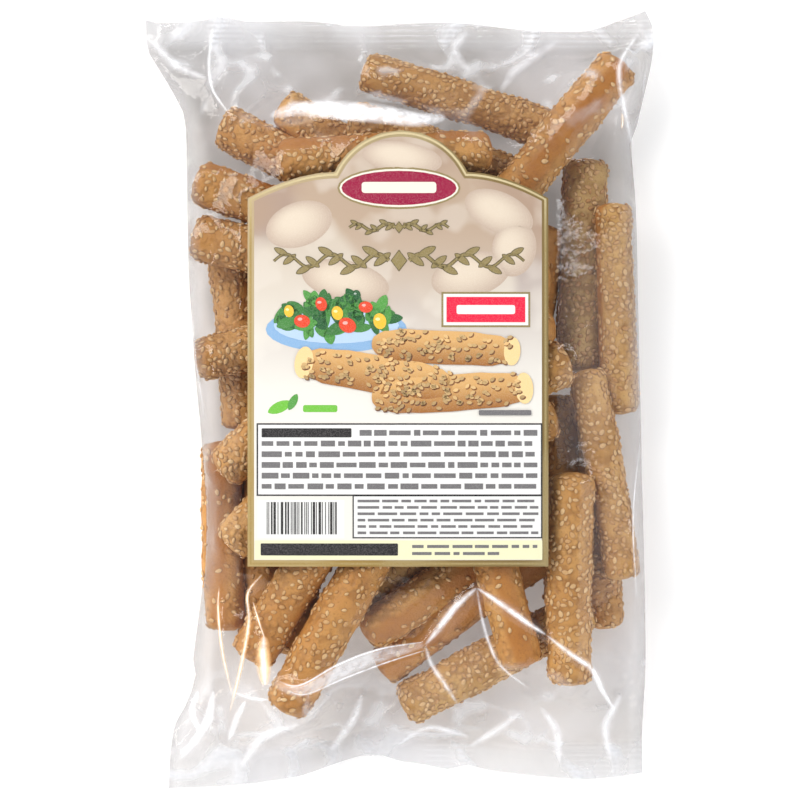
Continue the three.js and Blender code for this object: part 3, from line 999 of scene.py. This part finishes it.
def label_badges():
    """An oval, a red panel, a small mark of leaves, and two lines of scrolls."""
    shapes = [
        (ellipse(*OVAL, 61, 21), OLIVE_GOLD, 2),
        (ellipse(*OVAL, 59, 19), CREAM, 3),
        (ellipse(*OVAL, 57, 17), MAROON, 4),
        (rectangle(*OVAL_BAR, 3), CREAM, 5),
        (rectangle(*RED_PANEL), OLIVE_GOLD, 2),
        (rectangle(*drawn_in(RED_PANEL, 2)), WHITE_INK, 3),
        (rectangle(*drawn_in(RED_PANEL, 5)), RED, 4),
        (rectangle(*RED_BAR, 2), WHITE_INK, 5),
        (leaf(*MARK_LEAF), MARK_GREEN, 2),
        (leaf(*MARK_SPROUT), LEAF_LIGHT, 3),
        (rectangle(*GREEN_BAR, 2), MARK_GREEN, 2),
        (rectangle(*GREY_BAR, 1), GREY_INK, 13),
    ]
    for row in SCROLLS:
        shapes += vine(*row)
    return shapes


def label_panels(rng):
    """Boxes with lines of short bars, and a row of thin upright bars."""
    shapes = [(rectangle(*box), WHITE_INK, 2) for box in (WIDE_BOX, RIGHT_BOX, BARS_BOX)]
    shapes.append((rectangle(*FOOT_BOX), PALE_YELLOW, 2))
    shapes += frame_bars(*WIDE_BOX, 1.5) + frame_bars(*RIGHT_BOX, 1.3)
    shapes.append((rectangle(*WIDE_BOX_BAR, 1), BLACK_INK, 3))
    for line in BOX_LINES:
        shapes += short_bars(*line, rng)
    x, top, right, foot = UPRIGHT_BARS
    while x < right:
        wide = rng.choice((0.8, 0.8, 1.6, 2.4))
        shapes.append((rectangle(x, top, x + wide, foot), BLACK_INK, 3))
        x += wide + rng.choice((0.9, 0.9, 1.7, 2.4))
    shapes.append((rectangle(*FOOT_BAR, 1), BLACK_INK, 3))
    for line in FOOT_LINES:
        shapes += short_bars(*line, rng)
    return shapes


def label_print(paper, ink):
    rng = random.Random(11)
    print_piece("label_field", [(inner_outline(BORDER), CREAM, 1)], paper)
    print_piece("label_border", border_shine(), ink)
    print_piece("label_picture", label_picture(rng), ink)
    print_piece("label_badges", label_badges(), ink)
    print_piece("label_panels", label_panels(rng), ink)


# Materials

class Nodes:
    """Makes the nodes of one material, or of the light around the scene."""

    def __init__(self, name, world=False):
        self.owner = (bpy.data.worlds if world else bpy.data.materials).new(name)
        self.owner.use_nodes = True
        self.tree = self.owner.node_tree
        self.tree.nodes.clear()
        self.output = self.add("OutputWorld" if world else "OutputMaterial")

    def add(self, kind, inputs=None, **values):
        node = self.tree.nodes.new("ShaderNode" + kind)
        for name, value in values.items():
            setattr(node, name, value)
        for name, value in (inputs or {}).items():
            self.set(node, name, value)
        return node

    def set(self, node, name, value):
        """Links a node or a socket to an input, or sets a number or a colour on it."""
        if isinstance(value, bpy.types.Node):
            value = value.outputs[0]
        if isinstance(value, bpy.types.NodeSocket):
            self.tree.links.new(value, node.inputs[name])
        else:
            node.inputs[name].default_value = (*value, 1) if isinstance(value, tuple) else value

    def done(self, shader):
        self.set(self.output, "Surface", shader)
        return self.owner

    def position(self):
        return self.add("NewGeometry").outputs["Position"]

    def axis(self, name):
        return self.add("SeparateXYZ", {0: self.position()}).outputs[name]

    def value(self, name):
        return self.add("Attribute", attribute_name=name).outputs["Fac"]

    def noise(self, scale, detail=3.0, rough=0.55, kind="FBM"):
        inputs = {"Vector": self.position(), "Scale": scale, "Detail": detail, "Roughness": rough}
        if kind != "FBM":
            inputs["Offset"] = 1.0
        return self.add("TexNoise", inputs, noise_type=kind).outputs[0]

    def math(self, operation, a, b=0.0, clamp=False):
        return self.add("Math", {0: a, 1: b}, operation=operation, use_clamp=clamp).outputs[0]

    def times(self, a, b):
        return self.math("MULTIPLY", a, b)

    def plus(self, a, b, clamp=False):
        return self.math("ADD", a, b, clamp)

    def mix(self, share, a, b):
        return self.add("Mix", {0: share, 6: a, 7: b}, data_type="RGBA").outputs[2]

    def span(self, source, low, high, out_low=0.0, out_high=1.0):
        inputs = {"Value": source, "From Min": low, "From Max": high, "To Min": out_low, "To Max": out_high}
        return self.add("MapRange", inputs, interpolation_type="SMOOTHSTEP").outputs[0]

    def patch(self, pattern, low, high, below, above, most=1.0):
        """Blends one colour over another where a pattern is high."""
        return self.mix(self.span(pattern, low, high, 0.0, most), below, above)

    def layer(self, share, below, above):
        return self.add("MixShader", {0: share, 1: below, 2: above})

    def bump(self, height, strength, distance):
        return self.add("Bump", {"Height": height, "Strength": strength, "Distance": distance}).outputs[0]

    def surface(self, colour, roughness, specular, more=None):
        inputs = {"Base Color": colour, "Roughness": roughness, "Specular IOR Level": specular}
        return self.add("BsdfPrincipled", {**inputs, **(more or {})})


def crust_material():
    n = Nodes("crust")
    broad = n.noise(45, 3)
    patches = n.noise(130, 3)
    fine = n.noise(420, 4)
    pores = n.noise(1100, 2)
    spots = {"Vector": n.position(), "Scale": 360, "Smoothness": 0.35}
    cells = n.add("TexVoronoi", spots, feature="SMOOTH_F1")
    tan = n.patch(broad, 0.35, 0.7, (0.60, 0.28, 0.07), (0.74, 0.395, 0.12))
    olive = n.patch(broad, 0.3, 0.7, (0.59, 0.38, 0.125), (0.79, 0.555, 0.235))
    crust = n.mix(n.value("olive"), tan, olive)
    bare = n.patch(broad, 0.3, 0.75, (0.46, 0.176, 0.03), (0.57, 0.255, 0.058))
    bare = n.patch(n.noise(210, 4), 0.5, 0.68, bare, (0.40, 0.15, 0.03), 0.4)
    smooth = n.span(n.value("bare"), 0.25, 0.8)
    rough = n.times(n.math("SUBTRACT", 1.0, smooth), n.span(patches, 0.38, 0.6))
    # The grooves between the crust's cells are sunk by the bump and also painted darker, as painted shade
    # in them
    sunk = n.times(n.span(cells.outputs["Distance"], 0.25, 0.7), rough)
    colour = n.mix(n.times(sunk, 0.5), n.mix(smooth, crust, bare), (0.26, 0.105, 0.025))
    colour = n.patch(fine, 0.55, 0.8, colour, (0.32, 0.13, 0.035), 0.3)
    colour = n.mix(n.span(pores, 0.3, 0.4, 0.4, 0.0), colour, (0.22, 0.08, 0.02))
    colour = n.mix(n.value("tone"), colour, (0.38, 0.165, 0.045))
    height = n.plus(n.plus(n.times(fine, 0.5), n.times(pores, 0.25)), n.times(patches, 1.1))
    normal = n.bump(n.math("SUBTRACT", height, n.times(sunk, 0.55)), 0.9, 0.0011)
    gloss = n.span(fine, 0.2, 0.8, 0.62, 0.42)
    shader = n.surface(colour, gloss, 0.4, {"Normal": normal, "Subsurface Weight": 0.05})
    shader.inputs["Subsurface Radius"].default_value = (0.002, 0.001, 0.0005)
    return n.done(shader)


def seed_material():
    n = Nodes("sesame")
    grain = n.noise(1500, 2)
    pale = n.mix(n.value("tint"), (0.78, 0.52, 0.25), (0.56, 0.28, 0.085))
    pale = n.patch(grain, 0.4, 0.7, pale, (0.86, 0.66, 0.40), 0.25)
    # Painted shade: the seed's rim is dark brown where it sits in the crust, its middle pale
    colour = n.patch(n.value("shade"), 0.0, 0.85, (0.24, 0.09, 0.02), pale)
    return n.done(n.surface(colour, 0.42, 0.45, {"Normal": n.bump(grain, 0.25, 0.0003)}))


def film_material(name, clear_high, clear_low):
    """Clear film, tinted grey. How much light it lets through changes from its top end to its foot: it is
    painted darker towards the top end, as painted shade.
    """
    n = Nodes(name)
    crinkle = n.noise(34, 4, 0.5, kind="RIDGED_MULTIFRACTAL")
    soft = n.noise(16, 3)
    fine = n.noise(120, 3, 0.5, kind="RIDGED_MULTIFRACTAL")
    loose = n.value("loose")
    wave = n.math("SINE", n.times(n.axis("Y"), 2 * pi / 0.0021))
    height = n.plus(n.times(crinkle, n.plus(n.times(loose, 0.7), 0.22)), soft)
    height = n.plus(height, n.times(fine, 0.04))
    height = n.plus(height, n.times(n.times(wave, n.value("crimp")), 0.16))
    normal = n.bump(height, 0.55, 0.0022)

    tone = n.patch(n.axis("Y"), -0.15, 0.12, clear_low, clear_high)
    tone = n.patch(n.noise(24, 2), 0.42, 0.62, tone, (0.91, 0.91, 0.925), 0.55)
    # Painted shade: the clear colour turns grey along the bag's sides
    tone = n.mix(n.times(n.value("edge"), 0.45), tone, (0.60, 0.58, 0.57))
    clear = n.add("BsdfTransparent", {"Color": tone})
    haze_and_sheen = n.add("BsdfDiffuse", {"Color": (0.86, 0.87, 0.90), "Normal": normal})
    # Painted highlights: white streaks along the crinkles where the film lies loose towards the seals
    streak_highlights = n.times(n.span(crinkle, 1.15, 1.65, 0.0, 0.5), n.math("POWER", loose, 1.2))
    # The white diffuse layer: partly the film's cloudiness, partly a painted sheen
    haze = n.times(n.value("haze"), n.span(soft, 0.3, 0.7, 0.6, 1.25))
    body = n.layer(n.plus(haze, streak_highlights, clamp=True), clear, haze_and_sheen)

    facing = n.add("LayerWeight", {"Blend": 0.5, "Normal": normal}).outputs["Facing"]
    shine = n.plus(n.times(n.math("POWER", facing, 4.0), 0.7), 0.03, clamp=True)
    gloss = n.add("BsdfGlossy", {"Roughness": 0.07, "Normal": normal})
    return n.done(n.layer(shine, body, gloss))


def crease_material():
    """A crease of the film: a painted highlight, streaky white and glowing where it is sharpest, clear at
    its foot.
    """
    n = Nodes("crease_highlight")
    haze_and_sheen = n.math("MULTIPLY", n.value("haze_and_sheen"), n.span(n.noise(260, 3), 0.3, 0.62, 0.55, 1.1), clamp=True)
    tint = n.mix(n.value("glint_warmth"), (0.93, 0.94, 0.98), (0.95, 0.60, 0.30))
    # The white glows by emission as a painted highlight, warm where it is a painted glint
    white = n.surface(tint, 0.2, 0.8, {"Emission Color": tint, "Emission Strength": 0.45})
    return n.done(n.layer(haze_and_sheen, n.add("BsdfTransparent"), white))


def gold_material():
    n = Nodes("label_gold")
    left = n.patch(n.axis("Y"), -0.07, 0.09, (0.46, 0.30, 0.09), (0.55, 0.43, 0.26))
    colour = n.patch(n.axis("X"), -0.058, 0.05, left, (0.27, 0.19, 0.075))
    colour = n.patch(n.noise(28, 1), 0.45, 0.65, colour, (0.60, 0.50, 0.28), 0.45)
    return n.done(n.surface(colour, 0.34, 0.5, {"Metallic": 0.25}))


def paper_material():
    """The label's picture ground: soft blotches of tan, mauve and cream that fade to off-white below."""
    n = Nodes("label_ground")
    low = n.noise(26, 1, 0.3)
    other = n.noise(17, 1, 0.3)
    third = n.noise(60, 2, 0.4)
    ground = n.patch(low, 0.42, 0.54, (0.36, 0.275, 0.245), (0.58, 0.50, 0.41))
    ground = n.patch(other, 0.50, 0.58, ground, (0.42, 0.295, 0.205), 0.75)
    ground = n.patch(third, 0.52, 0.66, ground, (0.68, 0.61, 0.53), 0.45)
    colour = n.patch(n.axis("Y"), -0.008, 0.075, (0.79, 0.765, 0.71), ground)
    return n.done(n.surface(colour, 0.38, 0.4))


def ink_material():
    n = Nodes("label_ink")
    ink = n.add("Attribute", attribute_name="ink").outputs["Color"]
    colour = n.patch(n.noise(2200, 2), 0.4, 0.7, ink, (0.9, 0.88, 0.84), 0.08)
    return n.done(n.surface(colour, 0.38, 0.4))


def floor_material():
    n = Nodes("table_white")
    glow = n.add("Emission", {"Color": (1, 1, 1), "Strength": 0.3})
    grey = n.patch(n.noise(3, 2), 0.3, 0.7, (0.80, 0.80, 0.80), (0.83, 0.83, 0.83))
    return n.done(n.add("AddShader", {0: glow, 1: n.add("BsdfDiffuse", {"Color": grey})}))


# Camera, floor and lights

def stage_scene():
    scene = bpy.context.scene
    scene.view_settings.view_transform = "Standard"
    scene.cycles.transparent_max_bounces = 24
    scene.cycles.max_bounces = 10
    camera = bpy.data.cameras.new("camera")
    camera.lens = 36 * (EYE_HEIGHT - PICTURE_HEIGHT) / PICTURE_SIDE
    camera.clip_end = 20
    scene.camera = put("camera", camera)
    scene.camera.location = (to_x(PICTURE_MIDDLE) * MM, to_y(PICTURE_MIDDLE) * MM, EYE_HEIGHT)

    n = Nodes("studio", world=True)
    height = n.add("SeparateXYZ", {0: n.add("TexCoord").outputs["Generated"]}).outputs["Z"]
    strength = n.span(height, 0.9, 0.45, 0.12, 0.95)
    scene.world = n.done(n.add("Background", {"Color": (0.95, 0.97, 1.0), "Strength": strength}))

    corners = [(x * TABLE_HALF, y * TABLE_HALF, TABLE_Z) for x, y in ((-1, -1), (1, -1), (1, 1), (-1, 1))]
    mesh = bpy.data.meshes.new("table")
    mesh.from_pydata(corners, [], [(0, 1, 2, 3)])
    mesh.materials.append(floor_material())
    table = put("table", mesh)

    lights = [
        ("key", (-1.3, 1.0, 1.6), 1.4, 1.2, 42, (1.0, 0.97, 0.93)),
        ("fill", (1.6, -0.4, 1.2), 1.6, 1.6, 11, (0.95, 0.97, 1.0)),
        ("front", (0.1, -1.6, 1.2), 1.8, 1.2, 9, (1.0, 0.98, 0.95)),
        ("strip_left", (-0.9, -0.3, 0.6), 0.05, 0.8, 1.2, (1.0, 0.95, 0.88)),
        ("strip_right", (0.9, 0.2, 0.6), 0.05, 0.7, 0.9, (0.95, 0.97, 1.0)),
        ("strip_back", (0.0, 1.0, 0.8), 0.9, 0.05, 1.2, (1.0, 1.0, 1.0)),
    ]
    for name, place, wide, tall, power, colour in lights:
        light = bpy.data.lights.new(name, "AREA")
        light.shape = "RECTANGLE"
        light.size, light.size_y = wide, tall
        light.energy = power
        light.color = colour
        lamp = put(name, light)
        lamp.location = place
        lamp.rotation_euler = (Vector((0, 0, 0.02)) - Vector(place)).to_track_quat("-Z", "Y").to_euler()


def main():
    stage_scene()
    rods = settle()
    rng = random.Random(7)
    for rod in rods:
        rod["axes"] = stick_frame(rod)
        rod["bend"] = (rng.uniform(*BEND_SIDE), rng.uniform(*BEND_UP))
        rod["tone"] = rng.uniform(*BAKED)
    sticks = stick_mesh(rods, crust_material())
    seeds = seed_mesh(rods, seed_material(), rng)
    front, back, creases = film_pieces(
        rods,
        # Clear colours at the top end and at the foot: partly the film's own grey tint, partly painted
        # shade, darker at the top end and darker still on the lower film
        film_material("film_front", (0.835, 0.826, 0.82), (0.93, 0.925, 0.915)),
        film_material("film_back", (0.68, 0.67, 0.665), (0.86, 0.845, 0.84)),
        crease_material(),
    )
    for piece in (sticks, seeds, front, back, creases):
        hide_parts("bag")
    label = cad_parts["label"]
    gold = gold_material()
    for slot in label.material_slots:
        slot.material = gold
    label_print(paper_material(), ink_material())


main()
